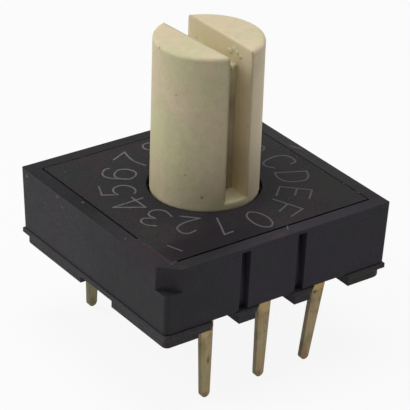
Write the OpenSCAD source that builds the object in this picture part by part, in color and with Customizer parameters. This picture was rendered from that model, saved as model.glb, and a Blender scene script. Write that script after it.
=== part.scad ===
// Sixteen-position rotary coded switch for a circuit board, with a tall slotted shaft.
// Z is up, the board's face is z = 0, and the shaft turns about the Z axis.
// The code reads 0 with the shaft's keyway towards -Y, and the numbers run clockwise from there.

/* [Case] */
// Width of the case, along the rows of leads
case_w = 10; // [9.8:0.05:11]
// Depth of the case, across the rows of leads
case_d = 9.6; // [9.45:0.05:11]
// Height of the case's top above the board
case_top = 3.14; // [3.1:0.02:3.8]
// Thickness of the case's side walls
case_wall = 0.65; // [0.5:0.05:0.7]
// Thickness of the roof under the top plate
roof_t = 0.44; // [0.4:0.02:0.48]
// Radius in the corners of the case's cavity
cavity_r = 0.3; // [0.2:0.05:0.4]
// Radius of the case's upright corners
corner_r = 0.2; // [0.05:0.05:0.3]
// Radius of the case's top outer edges
edge_r = 0.1; // [0.05:0.01:0.15]
// Height of the shadow gap under the case's outer edge
rebate_h = 0.03; // [0.02:0.01:0.1]
// Depth of the shadow gap under the case's outer edge
rebate_d = 0.06; // [0.04:0.01:0.2]

/* [Top plate] */
// Width of the case's rim around the top plate
rim_w = 0.47; // [0.35:0.01:0.6]
// Thickness of the top plate
plate_t = 0.25; // [0.15:0.01:0.3]
// Gap around the top plate
plate_gap = 0.05; // [0.02:0.01:0.08]
// How far the top plate sits to the right and to the rear, as a share of that gap
plate_shift = [0.4, 0.6]; // [0:0.1:0.8]
// Radius of the top plate's corners
plate_corner_r = 0.05; // [0.03:0.01:0.2]
// Gap between the top plate's hole and the shaft
plate_bore_gap = 0.12; // [0.08:0.01:0.3]

/* [Index corner and side slots] */
// Legs of the bevel on the corner beside terminal 1
index_leg = 0.65; // [0.4:0.05:0.7]
// Depth of that bevel below the case's top
index_depth = 0.97; // [0.5:0.01:1.2]
// Width of the upright slots in the front and rear walls
side_slot_w = 0.4; // [0.3:0.02:0.6]
// Depth of those slots
side_slot_depth = 0.32; // [0.2:0.01:0.4]
// Distance from a lead's centre to the slot beside it
side_slot_x = 0.96; // [0.7:0.01:1.2]
// Distance from the case's top to the upper end of those slots
side_slot_top = 0.13; // [0.1:0.01:0.4]

/* [Base] */
// Height of the joint between the base and the case above the board
joint_z = 0.52; // [0.45:0.01:0.6]
// How far the base's edge stands out beyond the case
lip = 0.07; // [0.04:0.01:0.15]
// Radius of the base's edge, above and below
lip_r = 0.06; // [0.04:0.01:0.1]
// Height of the standing rails under the base
rail_h = 0.3; // [0.2:0.01:0.35]
// Width of the standing rails
rail_w = 0.75; // [0.5:0.01:0.8]
// Radius of the rails' corners, apart from the one at terminal 1
foot_r = 0.45; // [0.2:0.05:0.6]
// Thickness of the base's floor, from its underside to its top face
floor_t = 0.62; // [0.55:0.01:0.7]
// Width of the notch in front of each lead
notch_w = 1.8; // [1.4:0.02:2.0]
// How far the notches sit beside their leads
notch_shift = 0.1; // [0:0.01:0.2]
// Width of the step beside lead 1, inside its notch
step_w = 0.57; // [0.2:0.01:0.7]
// Height of that step's underside above the board
step_z = 0.16; // [0.1:0.01:0.3]
// Radius in the notch's upper corners
notch_r = 0.18; // [0.1:0.01:0.3]
// Wall left between a notch and its lead
notch_wall = 0.13; // [0.08:0.01:0.2]
// Length of the gap in the middle of each side rail
side_gap = 2.1; // [1:0.1:4]
// How far that gap sits in front of the middle
side_gap_shift = 0.25; // [0:0.05:0.6]
// Radius of the boss under the shaft's pivot
boss_r = 1.35; // [1.2:0.05:2]
// Thickness of the boss's floor under the pivot
boss_floor = 0.15; // [0.1:0.01:0.2]
// Gap between the base's plug and the case's walls
plug_gap = 0.03; // [0.01:0.01:0.06]

/* [Leads] */
// Distance between neighbouring leads
lead_pitch = 2.54; // [2.4:0.02:2.6]
// Distance between the two rows of leads
row_gap = 7.62; // [7.4:0.01:7.7]
// Width of a lead where it leaves the base
lead_w = 0.56; // [0.4:0.02:0.6]
// Width of a lead just above its tip
lead_tip_w = 0.38; // [0.3:0.02:0.4]
// Thickness of a lead
lead_t = 0.2; // [0.14:0.01:0.25]
// Length of a lead below the board's face
lead_len = 3.4; // [2.5:0.1:4]
// How far each front lead has been pushed sideways just below the base
kinks = [0.02, 0.11, 0.14]; // [0:0.01:0.2]
// How far the tip of each front lead has been pushed sideways
leans = [0.06, 0.02, -0.35]; // [-0.4:0.01:0.2]
// How much shorter the front leads are than the full length
trims = [0, 0.05, 0.08]; // [0:0.01:0.2]
// How much shorter the rear leads are than the full length
rear_trim = 0.12; // [0:0.01:0.2]
// Depth of the kinks below the base's floor
kink_drop = 0.4; // [0.2:0.05:0.8]
// Gap that the case's walls keep from the leads
wall_gap = 0.05; // [0.02:0.01:0.08]
// Gap between the leads and the base's slots
lead_fit = 0.01; // [0.005:0.005:0.02]

/* [Contact springs] */
// Width of a contact spring
spring_w = 0.36; // [0.28:0.02:0.4]
// Thickness of a contact spring
spring_t = 0.1; // [0.06:0.01:0.12]
// Radius of a contact spring's rounded end
spring_tip_r = 0.14; // [0.1:0.01:0.16]
// Length of the flat at a contact spring's root
spring_flat = 0.2; // [0.1:0.05:0.3]
// Depth of the bay under each contact spring
bay_depth = 0.15; // [0.12:0.01:0.2]
// Gap beside and beyond each contact spring in its bay
bay_gap = 0.05; // [0.02:0.01:0.08]
// Gap that a drawn contact spring keeps below the code disc
contact_gap = 0.01; // [0.005:0.005:0.03]
// Distance from the row of leads to the contact spring's root
root_in = 0.56; // [0.45:0.01:0.7]

/* [Code disc] */
// Thickness of the code disc
disc_t = 0.12; // [0.08:0.01:0.14]
// Radius of the common track's middle
track_r = 1.15; // [1.1:0.01:1.2]
// Distance between neighbouring tracks
track_pitch = 0.55; // [0.5:0.01:0.56]
// Width of a track
track_w = 0.43; // [0.36:0.01:0.45]
// Metal left outside the outermost track
disc_edge = 0.1; // [0.06:0.01:0.15]
// Gap between the code disc and the hub that carries it
disc_fit = 0.01; // [0.005:0.005:0.02]

/* [Rotor] */
// Diameter of the shaft
shaft_d = 4.15; // [3.8:0.05:4.3]
// Height of the shaft above the case
shaft_h = 6.1; // [2:0.1:12]
// Radius of the shaft's top edge
shaft_edge_r = 0.12; // [0.02:0.01:0.2]
// Width of the screwdriver slot at its front end, and of the keyway
slot_w = 1; // [0.6:0.05:1.2]
// How much the slot's left wall splays outwards towards the rear
slot_splay = 0.25; // [0:0.01:0.3]
// Depth of the screwdriver slot
slot_depth = 0.87; // [0.3:0.01:1]
// Depth of the keyway, measured from its outer edges
key_depth = 0.96; // [0.5:0.02:1.1]
// Height of the rim left below the keyway
key_rim = 0.2; // [0.1:0.02:0.5]
// Radius of the detent wheel
wheel_r = 3.9; // [3.8:0.01:3.92]
// Thickness of the detent wheel
wheel_t = 0.55; // [0.4:0.01:0.58]
// Radius of each hollow in the detent wheel
hollow_r = 0.42; // [0.35:0.01:0.46]
// Depth of each hollow in the detent wheel
hollow_depth = 0.22; // [0.15:0.01:0.26]
// Height of the code disc's underside above the base's top face
disc_lift = 0.46; // [0.42:0.01:0.5]
// Height of the shaft's journal between the detent wheel and the O-ring groove
journal_h = 0.25; // [0.2:0.01:0.3]
// How far the shaft's full diameter reaches below the case's top
land_depth = 0.17; // [0.12:0.01:0.2]
// Running gap above and below the rotor
end_gap = 0.02; // [0.01:0.01:0.05]
// Radius of the hub through the code disc
hub_r = 0.88; // [0.84:0.01:0.9]
// Distance of the hub's two flats from its centre
hub_flat = 0.74; // [0.7:0.01:0.78]
// Radius of the pivot under the hub
pivot_r = 0.7; // [0.5:0.01:0.7]
// Running gap around the shaft and the pivot
run_gap = 0.05; // [0.02:0.01:0.08]

/* [Seal and detent springs] */
// Thickness of the O-ring's section
ring_t = 0.48; // [0.4:0.01:0.52]
// Wall of the case's collar that guides the shaft
collar_wall = 0.55; // [0.4:0.01:0.8]
// Gap between the O-ring and what it seals
ring_gap = 0.02; // [0.01:0.01:0.03]
// Thickness of the detent springs' strip
leaf_t = 0.12; // [0.08:0.01:0.14]
// Gap between a detent spring's nose and the hollow it rests in
nose_gap = 0.04; // [0.02:0.01:0.06]
// Gap that the detent springs keep from the case, the base and the wheel
leaf_gap = 0.02; // [0.01:0.01:0.04]
// Width of the end feet of a detent spring
leaf_foot = 0.26; // [0.15:0.01:0.35]
// Gap between a detent spring's ends and the walls beside them
leaf_end_gap = 0.16; // [0.1:0.01:0.3]
// How far a detent spring's strip reaches below the detent wheel
leaf_drop = 0.25; // [0.1:0.01:0.3]
// Width of the seats behind the detent springs' ends
seat_w = 0.34; // [0.25:0.01:0.4]

/* [Hidden] */
$fn = 64;

// Every terminal's bit, with 0 for the common ones, and whether it is the rear one of its bit
TERMINALS = [[1, false], [0, false], [2, false], [4, false], [0, true], [8, false]];

far = 20;                                  // longer than any cut needs to be
eps = 0.01;                                // overlap that joins pieces of one solid
steps = 16;
step_angle = 360 / steps;

// Levels, from the board upwards
base_top = rail_h + floor_t;
disc_z = base_top + disc_lift;
wheel_z = disc_z + disc_t;
wheel_top = wheel_z + wheel_t;
plate_z = case_top - plate_t;
roof_z = plate_z - roof_t;
shaft_top = case_top + shaft_h;
key_z = case_top + key_rim;
groove_z = wheel_top + journal_h;
groove_top = case_top - land_depth;

// Plan sizes
cavity_w = case_w - 2 * case_wall;
cavity_d = case_d - 2 * case_wall;
plate_hole_w = case_w - 2 * rim_w;
plate_hole_d = case_d - 2 * rim_w;
shaft_r = shaft_d / 2;
bore_r = shaft_r + run_gap;
neck_r = bore_r - ring_t - 2 * ring_gap;
row_y = row_gap / 2;
notch_depth = (case_d - row_gap) / 2 - lead_t / 2 - notch_wall;
key_floor = sqrt(pow(shaft_r, 2) - pow(slot_w / 2, 2)) - key_depth;
hollow_at = wheel_r - hollow_depth + hollow_r;

// Detent springs: each lies across a corner of the case, square to the line at 45 degrees
leaf_in = wheel_r + hollow_depth / 2 + leaf_gap;
nose_r = hollow_r - nose_gap;
leaf_half = min(cavity_w, cavity_d) / 2 * sqrt(2) - leaf_in - leaf_t - leaf_end_gap;
leaf_z = wheel_z - leaf_drop;

// Contact springs: each terminal's column, row, code track and contact angle
function track(n) = track_r + n * track_pitch;
function track_of(bit) = bit == 0 ? 0 : bit == 8 ? 1 : bit == 4 ? 2 : bit == 2 ? 3 : 4;
function lead_x(bit) = (bit == 1 || bit == 4) ? -lead_pitch : bit == 0 ? 0 : lead_pitch;
function lead_side(bit, rear) = (bit == 4 || bit == 8 || rear) ? 1 : -1;
function root_y() = row_y - root_in;
function straight_angle(bit) = acos(lead_x(bit) / track(track_of(bit)));
function contact_angle(bit, rear) =
    bit == 0 ? (rear ? 90 : -90)
    : bit == 4 ? 130
    : bit == 8 ? 50
    : -straight_angle(bit);
function contact_at(bit, rear) =
    track(track_of(bit)) * [cos(contact_angle(bit, rear)), sin(contact_angle(bit, rear))];
function root_at(bit, rear) = [lead_x(bit), lead_side(bit, rear) * root_y()];

// Flat outlines

module rounded(w, d, r) {
    square([w - 2 * r, d], center = true);
    square([w, d - 2 * r], center = true);
    for (x = [-1, 1], y = [-1, 1])
        translate([x * (w / 2 - r), y * (d / 2 - r)]) circle(r);
}

module sector(r_in, r_out, from, to) {
    count = ceil((to - from) / step_angle);
    intersection() {
        difference() {
            circle(r_out);
            circle(r_in);
        }
        polygon(concat([[0, 0]], [for (i = [0 : count])
            let (a = from + (to - from) * i / count) 2 * r_out * [cos(a), sin(a)]]));
    }
}

// Case

// What rounded edges take away from the top of a w by d block whose top is at z
module edge_cuts(w, d, z, r) {
    for (side = [[0, d], [90, w], [180, d], [270, w]])
        rotate(side[0]) translate([0, side[1] / 2 - r, z - r]) rotate([90, 0, 90])
            linear_extrude(far, center = true) difference() {
                square(2 * r);
                circle(r);
            }
}

module spring_seats() {
    for (a = [45, 225], side = [-1, 1])
        rotate(a) translate([leaf_in + leaf_t + leaf_gap, side * (leaf_half - leaf_foot / 2) - seat_w / 2,
                             base_top + leaf_gap])
            cube([far, seat_w, roof_z - base_top]);
}

module housing() {
    color("#2b2a2c") difference() {
        union() {
            difference() {
                translate([0, 0, joint_z]) linear_extrude(case_top - joint_z)
                    rounded(case_w, case_d, corner_r);
                linear_extrude(roof_z) rounded(cavity_w, cavity_d, cavity_r);
            }
            intersection() {
                spring_seats();
                linear_extrude(roof_z + eps)
                    square([case_w - case_wall, case_d - case_wall], center = true);
            }
            translate([0, 0, wheel_top + end_gap]) cylinder(h = roof_t, r = bore_r + collar_wall);
        }
        // seat of the top plate and bore of the shaft
        translate([0, 0, plate_z]) linear_extrude(far)
            rounded(plate_hole_w, plate_hole_d, plate_corner_r);
        cylinder(h = far, r = bore_r);
        // bevelled index corner
        translate([-case_w / 2, -case_d / 2, case_top - index_depth]) rotate(45)
            translate([-index_leg / sqrt(2), -far / 2, 0]) cube([index_leg * sqrt(2), far, far]);
        // upright slots in the front and rear walls
        for (turn = [0, 180], column = [-1, 0]) rotate(turn)
            translate([column * lead_pitch + side_slot_x - side_slot_w / 2, -case_d / 2 - 1, 0])
                cube([side_slot_w, 1 + side_slot_depth, case_top - side_slot_top]);
        // room for the leads, where a wall comes near one
        for (t = TERMINALS) lead_frame(t[0], t[1], wall_gap);
        // rounded top edges
        edge_cuts(case_w, case_d, case_top, edge_r);
        // shadow gap above the base
        translate([0, 0, joint_z - far]) linear_extrude(far + rebate_h) difference() {
            square(far, center = true);
            rounded(case_w - 2 * rebate_d, case_d - 2 * rebate_d, corner_r);
        }
    }
}

module top_plate() {
    color("#333133") translate([0, 0, plate_z]) linear_extrude(plate_t) difference() {
        translate(plate_gap * plate_shift)
            rounded(plate_hole_w - 2 * plate_gap, plate_hole_d - 2 * plate_gap, plate_corner_r);
        circle(shaft_r + plate_bore_gap);
    }
}

module o_ring() {
    color("#1b1b1c") translate([0, 0, (groove_z + groove_top) / 2]) rotate_extrude()
        translate([neck_r + ring_gap + ring_t / 2, 0]) circle(d = ring_t);
}

// Base

module notch(stepped) {
    rotate([90, 0, 0]) linear_extrude(far) difference() {
        union() {
            translate([-notch_w / 2, -1]) square([notch_w, 1 + joint_z - notch_r]);
            translate([-notch_w / 2 + notch_r, -1]) square([notch_w - 2 * notch_r, 1 + joint_z]);
            for (x = [-1, 1]) translate([x * (notch_w / 2 - notch_r), joint_z - notch_r]) circle(notch_r);
        }
        if (stepped) translate([-notch_w / 2, step_z]) square([step_w, far]);
    }
}

// The base's edge, which closes the case from below
module flange() {
    w = case_w + 2 * lip;
    d = case_d + 2 * lip;
    difference() {
        translate([0, 0, rail_h]) linear_extrude(joint_z - rail_h) rounded(w, d, lip_r);
        edge_cuts(w, d, joint_z, lip_r);
        translate([0, 0, rail_h]) mirror([0, 0, 1]) edge_cuts(w, d, 0, lip_r);
    }
}

module rails() {
    linear_extrude(rail_h + eps) difference() {
        rounded(case_w, case_d, corner_r);
        square([case_w - 2 * rail_w, case_d - 2 * rail_w], center = true);
        for (corner = [[1, -1], [-1, 1], [1, 1]])
            translate([corner[0] * (case_w / 2 - foot_r), corner[1] * (case_d / 2 - foot_r)])
                difference() {
                    translate([corner[0] > 0 ? 0 : -2 * foot_r, corner[1] > 0 ? 0 : -2 * foot_r])
                        square(2 * foot_r);
                    circle(foot_r);
                }
        for (side = [-1, 1])
            translate([side * case_w / 2, -side_gap_shift])
                square([2 * rail_w + eps, side_gap], center = true);
    }
}

module base() {
    color("#262527") difference() {
        union() {
            rails();
            flange();
            translate([0, 0, rail_h]) linear_extrude(floor_t)
                rounded(cavity_w - 2 * plug_gap, cavity_d - 2 * plug_gap, cavity_r);
            cylinder(h = rail_h + eps, r = boss_r);
        }
        for (turn = [0, 180], column = [-1 : 1]) rotate(turn)
            translate([column * lead_pitch - notch_shift, notch_depth - case_d / 2, 0])
                notch(turn == 0 && column == -1);
        translate([0, 0, boss_floor]) cylinder(h = far, r = pivot_r + run_gap);
        for (t = TERMINALS) {
            lead_frame(t[0], t[1], lead_fit);
            spring_bay(t[0], t[1]);
        }
    }
}

// Room in the base's top face for a contact spring to flex
module spring_bay(bit, rear) {
    root = root_at(bit, rear);
    way = contact_at(bit, rear) - root;
    translate([root[0], root[1], base_top - bay_depth]) rotate(atan2(way[1], way[0]))
        translate([0, -spring_w / 2 - bay_gap, 0])
            cube([norm(way) + spring_tip_r + bay_gap, spring_w + 2 * bay_gap, far]);
}

// Terminals

// The flat part of a terminal that the base holds, grown by a gap for the base's own slot
module lead_frame(bit, rear, grow) {
    side = lead_side(bit, rear);
    root = root_at(bit, rear);
    strip_z = base_top - lead_t - grow;
    strip_h = lead_t + grow + (grow > 0 ? 1 : 0);
    translate([root[0] - lead_w / 2 - grow, min(side * (row_y + lead_t / 2 + grow), root[1]), strip_z])
        cube([lead_w + 2 * grow, row_y + lead_t / 2 + grow - root_y(), strip_h]);
    translate([root[0], root[1], strip_z]) cylinder(h = strip_h, r = lead_w / 2 + grow);
    translate([root[0] - lead_w / 2 - grow, side * row_y - lead_t / 2 - grow, grow > 0 ? 0 : rail_h])
        cube([lead_w + 2 * grow, lead_t + 2 * grow, base_top - (grow > 0 ? 0 : rail_h)]);
}

// A lead below the base: a flat blade that narrows to a rounded tip
module leg(kink, lean, trim) {
    tip_r = lead_tip_w / 2;
    kink_z = rail_h - kink_drop;
    foot = [lean, tip_r + trim - lead_len];
    rotate([90, 0, 0]) linear_extrude(lead_t, center = true) {
        polygon([
            [-lead_w / 2, rail_h + eps], [kink - lead_w / 2, kink_z], foot - [tip_r, 0],
            foot + [tip_r, 0], [kink + lead_w / 2, kink_z], [lead_w / 2, rail_h + eps]
        ]);
        translate(foot) circle(tip_r);
    }
}

// A contact spring rises from its root to a rounded end that touches the code disc
module contact_spring(reach) {
    end_z = disc_z - contact_gap - spring_tip_r;
    join_z = end_z + spring_tip_r / 2;
    rotate([90, 0, 0]) linear_extrude(spring_w, center = true) {
        polygon([
            [0, base_top - spring_t], [spring_flat, base_top - spring_t],
            [reach, join_z - spring_t], [reach, join_z], [spring_flat, base_top], [0, base_top]
        ]);
        translate([reach, end_z]) circle(spring_tip_r);
    }
}

module terminal(bit, rear = false, kink = 0, lean = 0, trim = rear_trim) {
    root = root_at(bit, rear);
    way = contact_at(bit, rear) - root;
    color("#d9b860") {
        lead_frame(bit, rear, 0);
        translate([root[0], lead_side(bit, rear) * row_y, 0]) leg(kink, lean, trim);
        translate([root[0], root[1], 0]) rotate(atan2(way[1], way[0])) contact_spring(norm(way));
    }
}

// Rotor

module keyed_hub(grow) {
    intersection() {
        circle(hub_r + grow);
        square([2 * (hub_flat + grow), far], center = true);
    }
}

module rotor() {
    color("#d8cda6") difference() {
        union() {
            rotate_extrude() {
                square([shaft_r, shaft_top - shaft_edge_r]);
                square([shaft_r - shaft_edge_r, shaft_top]);
                translate([shaft_r - shaft_edge_r, shaft_top - shaft_edge_r]) circle(shaft_edge_r);
            }
            translate([0, 0, wheel_z]) cylinder(h = wheel_t, r = wheel_r);
        }
        // below the wheel only the hub and the pivot are left
        difference() {
            cylinder(h = 2 * wheel_z, r = shaft_r + 1, center = true);
            translate([0, 0, boss_floor + end_gap]) cylinder(h = far, r = pivot_r);
            translate([0, 0, disc_z]) linear_extrude(far) keyed_hub(0);
        }
        // O-ring groove and the hollows of the detent wheel
        translate([0, 0, groove_z]) rotate_extrude() translate([neck_r, 0])
            square([shaft_r, groove_top - groove_z]);
        for (i = [0 : steps - 1]) rotate(i * step_angle)
            translate([hollow_at, 0, 0]) cylinder(h = wheel_top + 1, r = hollow_r);
        // screwdriver slot across the top, keyway down the side
        translate([0, 0, shaft_top - slot_depth]) linear_extrude(far) polygon([
            [-slot_w / 2, -shaft_d], [slot_w / 2, -shaft_d], [slot_w / 2, shaft_d],
            [-slot_w / 2 - 1.5 * slot_splay, shaft_d], [-slot_w / 2, -shaft_r]
        ]);
        translate([-slot_w / 2, -key_floor - far, key_z]) cube([slot_w, far, far]);
    }
}

// The disc is bare under a bit's contact wherever that bit of the number is 0
module code_disc() {
    color("#e0bd5c") translate([0, 0, disc_z]) linear_extrude(disc_t) difference() {
        circle(track(4) + track_w / 2 + disc_edge);
        keyed_hub(disc_fit);
        for (bit = [1, 2, 4, 8], run = [0 : 8 / bit - 1]) {
            middle = track(track_of(bit));
            from = contact_angle(bit, false) + (2 * bit * run - 0.5) * step_angle;
            sector(middle - track_w / 2, middle + track_w / 2, from, from + bit * step_angle);
        }
    }
}

// Detent springs

module detent_spring(angle) {
    middle = leaf_in + leaf_t;
    color("#b9bbbd") rotate(angle) {
        translate([0, 0, leaf_z]) linear_extrude(roof_z - leaf_gap - leaf_z) {
            for (side = [-1, 1]) translate([leaf_in, side > 0 ? nose_r - leaf_t : -leaf_half])
                square([leaf_t, leaf_half - nose_r + leaf_t]);
            intersection() {
                translate([hollow_at, 0]) difference() {
                    circle(nose_r);
                    circle(nose_r - leaf_t);
                }
                translate([0, -nose_r]) square([middle, 2 * nose_r]);
            }
        }
        for (side = [-1, 1])
            translate([leaf_in, side > 0 ? leaf_half - leaf_foot : -leaf_half, base_top + leaf_gap])
                cube([leaf_t, leaf_foot, leaf_z - base_top]);
    }
}

module detent_spring_rear() { detent_spring(45); }
module detent_spring_front() { detent_spring(225); }

module terminal_1() { terminal(1, kink = kinks[0], lean = leans[0], trim = trims[0]); }
module terminal_2() { terminal(2, kink = kinks[2], lean = leans[2], trim = trims[2]); }
module terminal_4() { terminal(4); }
module terminal_8() { terminal(8); }
module terminal_c_front() { terminal(0, kink = kinks[1], lean = leans[1], trim = trims[1]); }
module terminal_c_rear() { terminal(0, rear = true); }

housing();
top_plate();
base();
rotor();
code_disc();
o_ring();
detent_spring_rear();
detent_spring_front();
terminal_1();
terminal_2();
terminal_4();
terminal_8();
terminal_c_front();
terminal_c_rear();
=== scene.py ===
"""Looks of a rotary coded switch: its finishes, printed dial, burrs and studio.

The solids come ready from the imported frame, in metres. This script gives each of them
a finish, adds the print and the small marks of use, and lights the whole.
"""

import logging
import math
import random
from dataclasses import dataclass, field, replace
from enum import Enum
from typing import Mapping, Sequence, Union

import bmesh
import bpy
from mathutils import Matrix, Vector


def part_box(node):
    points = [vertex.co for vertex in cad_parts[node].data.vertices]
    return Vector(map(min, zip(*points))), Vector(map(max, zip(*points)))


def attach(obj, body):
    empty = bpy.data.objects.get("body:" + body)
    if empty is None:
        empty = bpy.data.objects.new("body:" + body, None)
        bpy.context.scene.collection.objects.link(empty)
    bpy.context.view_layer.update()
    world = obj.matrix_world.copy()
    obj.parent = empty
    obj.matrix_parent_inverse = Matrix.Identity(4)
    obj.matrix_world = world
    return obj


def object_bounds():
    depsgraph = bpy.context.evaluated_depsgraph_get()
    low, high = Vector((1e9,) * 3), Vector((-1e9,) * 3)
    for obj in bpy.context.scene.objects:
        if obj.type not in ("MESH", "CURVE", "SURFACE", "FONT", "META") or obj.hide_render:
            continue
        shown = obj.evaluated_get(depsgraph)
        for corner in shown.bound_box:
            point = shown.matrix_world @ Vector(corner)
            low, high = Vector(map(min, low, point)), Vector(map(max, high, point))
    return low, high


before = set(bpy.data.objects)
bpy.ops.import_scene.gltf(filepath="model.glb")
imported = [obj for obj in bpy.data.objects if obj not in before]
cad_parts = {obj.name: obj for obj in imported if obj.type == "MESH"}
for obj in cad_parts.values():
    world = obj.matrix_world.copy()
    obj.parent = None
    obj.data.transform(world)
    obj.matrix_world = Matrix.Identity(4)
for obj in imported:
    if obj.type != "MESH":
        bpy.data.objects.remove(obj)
CAD_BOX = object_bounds()

MM = 0.001
EDGE_REACH = 0.05 * MM
LOG = logging.getLogger("coded_switch")

BMesh = bmesh.types.BMesh
Material = bpy.types.Material
Object = bpy.types.Object
Colour = tuple[float, float, float]
Point = tuple[float, float]
Span = tuple[float, float]
Place = tuple[float, float, float]
Value = Union["Wire", float, Sequence[float]]
Cut = tuple[Vector, Vector, float]  # a line's middle, the way that it runs, and its share of the full width


class Body(Enum):
    """The bodies that pieces ride on."""

    CASE = "body"
    DIAL = "dial"


class Slot(Enum):
    """Material slots of the solids that an added piece can share."""

    SHAFT = "shaft_plastic"


class Axis(Enum):
    """Components of a place in the part's frame."""

    X = "X"
    Y = "Y"
    Z = "Z"


def shade(*parts: float) -> Colour:
    """Turn a display colour into a linear one.

    Args:
        parts: Its red, green and blue, from 0 to 255.

    Returns:
        The linear colour.
    """
    shares = (part / 255 for part in parts)
    return tuple(part / 12.92 if part <= 0.04045 else ((part + 0.055) / 1.055) ** 2.4 for part in shares)


def grey(level: float) -> Colour:
    """A linear grey."""
    return level, level, level


@dataclass(frozen=True)
class Wire:
    """A node's output that takes part in sums.

    Numbers go through Math nodes, vectors through Vector Math and colours through Mix.
    """

    bench: "Bench"
    socket: bpy.types.NodeSocket

    def _sum(self, operation: str, left: Value, right: Value) -> "Wire":
        """Add the node for one sum.

        Args:
            operation: The sum's name, the same in every kind of node.
            left: First term.
            right: Second term.

        Returns:
            The sum's output.
        """
        if self.socket.type == "RGBA":
            return self.bench.blend(1.0, left, right, operation)
        if self.socket.type == "VECTOR":
            return self.bench.node("VectorMath", {"operation": operation}, {0: left, 1: right})
        return self.bench.node("Math", {"operation": operation}, {0: left, 1: right})

    def __add__(self, other: Value) -> "Wire":
        """Sum."""
        return self._sum("ADD", self, other)

    def __radd__(self, other: Value) -> "Wire":
        """Sum, reflected."""
        return self._sum("ADD", other, self)

    def __sub__(self, other: Value) -> "Wire":
        """Difference."""
        return self._sum("SUBTRACT", self, other)

    def __rsub__(self, other: Value) -> "Wire":
        """Difference, reflected."""
        return self._sum("SUBTRACT", other, self)

    def __mul__(self, other: Value) -> "Wire":
        """Product."""
        return self._sum("MULTIPLY", self, other)

    def __rmul__(self, other: Value) -> "Wire":
        """Product, reflected."""
        return self._sum("MULTIPLY", self, other)

    def size(self) -> "Wire":
        """Absolute value."""
        return self.bench.node("Math", {"operation": "ABSOLUTE"}, {0: self})

    def most(self, other: Value) -> "Wire":
        """Larger of two."""
        return self._sum("MAXIMUM", self, other)

    def along(self, axis: Axis) -> "Wire":
        """One component of a vector, as a number."""
        return self.bench.node("SeparateXYZ", inputs={0: self}, out=axis.value)

    def step(self, low: float, high: float) -> "Wire":
        """Smooth step from 0 at low to 1 at high, falling where low is the larger.

        Args:
            low: Where it is 0.
            high: Where it is 1.

        Returns:
            A mask from 0 to 1.
        """
        settings = {"interpolation_type": "SMOOTHSTEP"}
        if low < high:
            return self.bench.node("MapRange", settings, {0: self, 1: low, 2: high})
        return self.bench.node("MapRange", settings, {0: self, 1: high, 2: low, 3: 1.0, 4: 0.0})


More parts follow.
